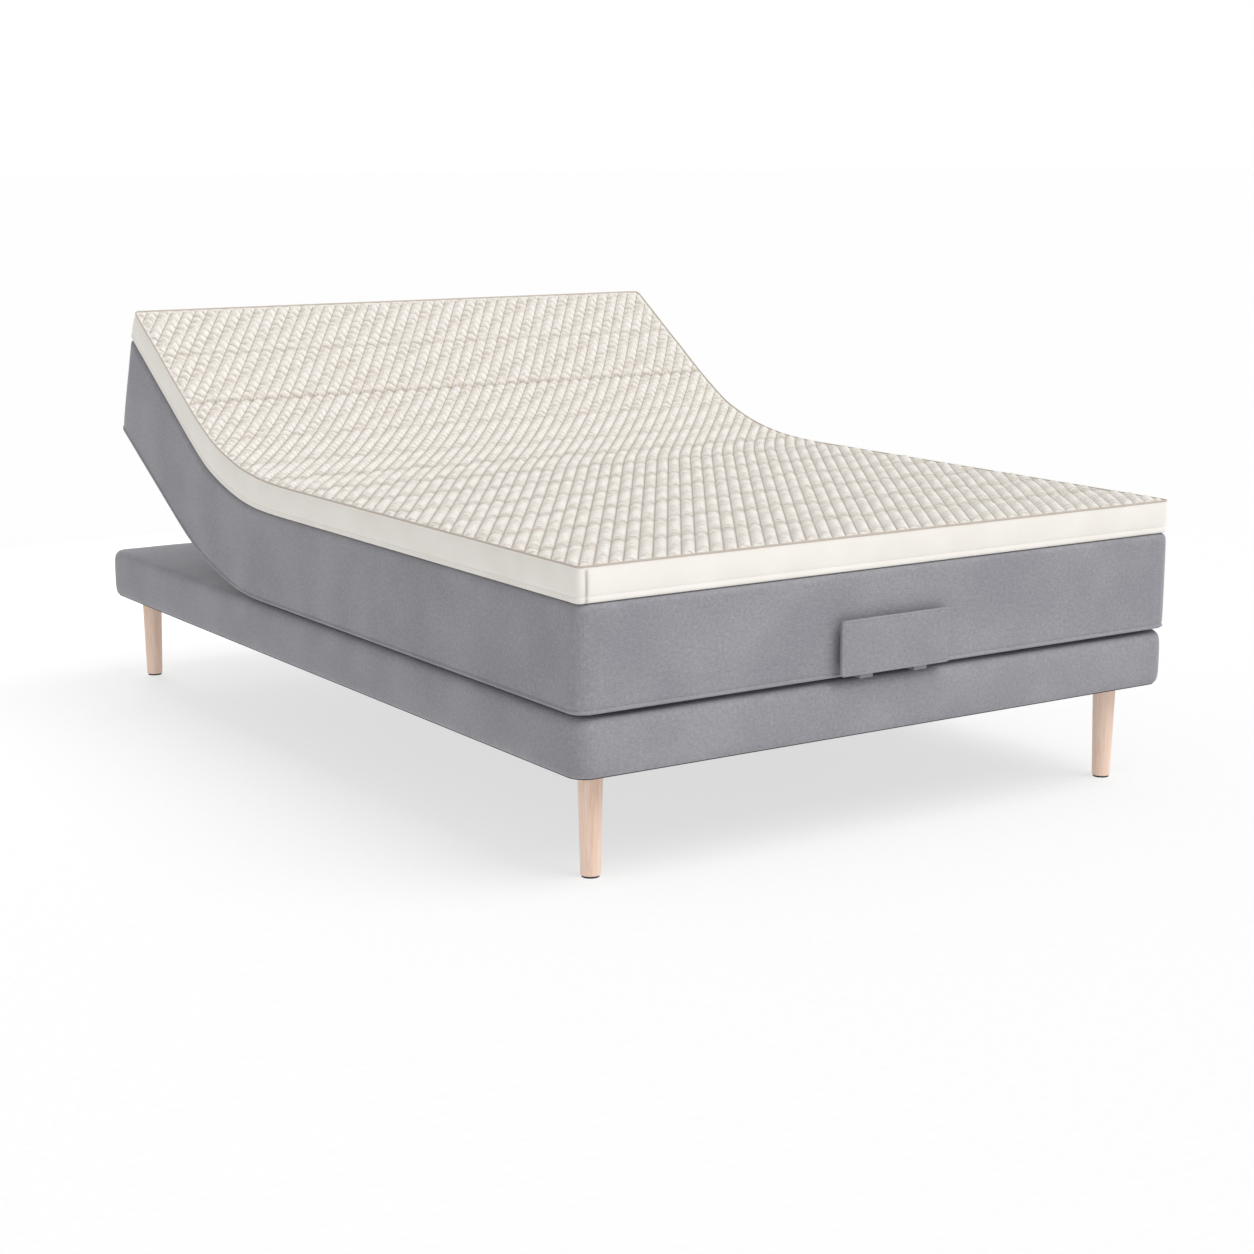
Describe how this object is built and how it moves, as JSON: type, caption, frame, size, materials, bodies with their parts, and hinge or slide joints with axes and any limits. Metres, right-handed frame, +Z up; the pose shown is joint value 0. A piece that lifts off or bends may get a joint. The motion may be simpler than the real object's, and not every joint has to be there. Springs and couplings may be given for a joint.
{
  "type": "adjustable bed",
  "caption": "Adjustable bed with a low upholstered base box on tapered wood legs, a bending sprung box with a raised back, a quilted topper and a foot-end retainer.",
  "frame": {"origin": "on the floor under the middle of the bed's outer box", "axes": "+Z up, +Y towards the head end, X across the bed"},
  "size_m": [1.4, 2.12, 0.8882],
  "materials": {
    "leg_wood": "satin",
    "grey_upholstery": "matte",
    "topper_fabric": "matte",
    "soft_foam": "matte",
    "frame_timber": "matte",
    "slat_wood": "satin",
    "dust_cloth": "matte",
    "painted_steel": "satin",
    "zinc_steel": "satin",
    "black_plastic": "matte"
  },
  "bodies": {
    "base": {"leg_foot_left": "leg_wood", "leg_foot_right": "leg_wood", "leg_head_left": "leg_wood", "leg_head_right": "leg_wood", "leg_studs": "zinc_steel", "leg_collars": "black_plastic", "leg_glides": "black_plastic", "base_cover": "grey_upholstery", "base_side_rails": "frame_timber", "base_end_rails": "frame_timber", "base_cross_beams": "frame_timber", "base_corner_blocks": "frame_timber", "base_top_panel": "frame_timber", "base_dust_cover": "dust_cloth", "seat_spacers": "black_plastic", "seat_bolts": "zinc_steel", "seat_side_rails": "painted_steel", "seat_cross_tubes": "painted_steel", "lift_tube_bushes": "black_plastic", "seat_slats": "slat_wood", "seat_spring_core": "grey_upholstery", "seat_topper": "topper_fabric", "drive_lower_shell": "black_plastic", "drive_upper_shell": "black_plastic", "back_motor": "painted_steel", "leg_motor": "painted_steel", "back_spindle": "zinc_steel", "leg_spindle": "zinc_steel", "control_box": "black_plastic", "thigh_gap_foam": "soft_foam", "lumbar_gap_foam": "soft_foam"},
    "lumbar": {"back_lift_tube": "painted_steel", "back_levers": "painted_steel", "lumbar_side_rails": "painted_steel", "lumbar_slats": "slat_wood", "lumbar_spring_core": "grey_upholstery", "lumbar_topper": "topper_fabric", "back_hinge_pins": "zinc_steel", "back_gap_foam": "soft_foam"},
    "back": {"back_frame": "painted_steel", "back_slats": "slat_wood", "back_spring_core": "grey_upholstery", "back_topper": "topper_fabric"},
    "thigh": {"leg_lift_tube": "painted_steel", "leg_levers": "painted_steel", "thigh_side_rails": "painted_steel", "thigh_slats": "slat_wood", "thigh_spring_core": "grey_upholstery", "thigh_topper": "topper_fabric", "knee_pins": "zinc_steel"},
    "calf": {"calf_frame": "painted_steel", "calf_slats": "slat_wood", "calf_spring_core": "grey_upholstery", "calf_topper": "topper_fabric", "calf_glides": "black_plastic", "retainer_straps": "painted_steel", "retainer_screws": "zinc_steel", "retainer_plate": "grey_upholstery"},
    "back_nut": {"back_slider": "black_plastic"},
    "leg_nut": {"leg_slider": "black_plastic"}
  },
  "joints": [
    {"name": "lumbar_lift", "type": "hinge", "parent": "base", "child": "lumbar", "pos_m": [0, 0.29, 0.345], "axis": [1, 0, 0], "range_deg": [-15, 20], "deforming": ["lumbar_gap_foam"]},
    {"name": "back_lift", "type": "hinge", "parent": "lumbar", "child": "back", "pos_m": [0, 0.5508, 0.41488], "axis": [1, 0, 0], "range_deg": [-15, 20], "deforming": ["back_gap_foam"]},
    {"name": "thigh_lift", "type": "hinge", "parent": "base", "child": "thigh", "pos_m": [0, -0.11, 0.345], "axis": [-1, 0, 0], "range_deg": [0, 33], "deforming": ["thigh_gap_foam"]},
    {"name": "calf_fold", "type": "hinge", "parent": "thigh", "child": "calf", "pos_m": [0, -0.44, 0.345], "axis": [1, 0, 0], "range_deg": [0, 50.4]},
    {"name": "back_nut_slide", "type": "slide", "parent": "base", "child": "back_nut", "axis": [0, 1, 0], "range_m": [-0.0208, 0.0277]},
    {"name": "leg_nut_slide", "type": "slide", "parent": "base", "child": "leg_nut", "axis": [0, -1, 0], "range_m": [0, 0.0456]}
  ],
  "couplings": [
    {"joint": "back_lift", "follows": "lumbar_lift", "ratio": 1},
    {"joint": "back_nut_slide", "follows": "lumbar_lift", "m_per_rad": 0.078762},
    {"joint": "calf_fold", "follows": "thigh_lift", "ratio": 1.525},
    {"joint": "leg_nut_slide", "follows": "thigh_lift", "m_per_rad": 0.078899}
  ]
}
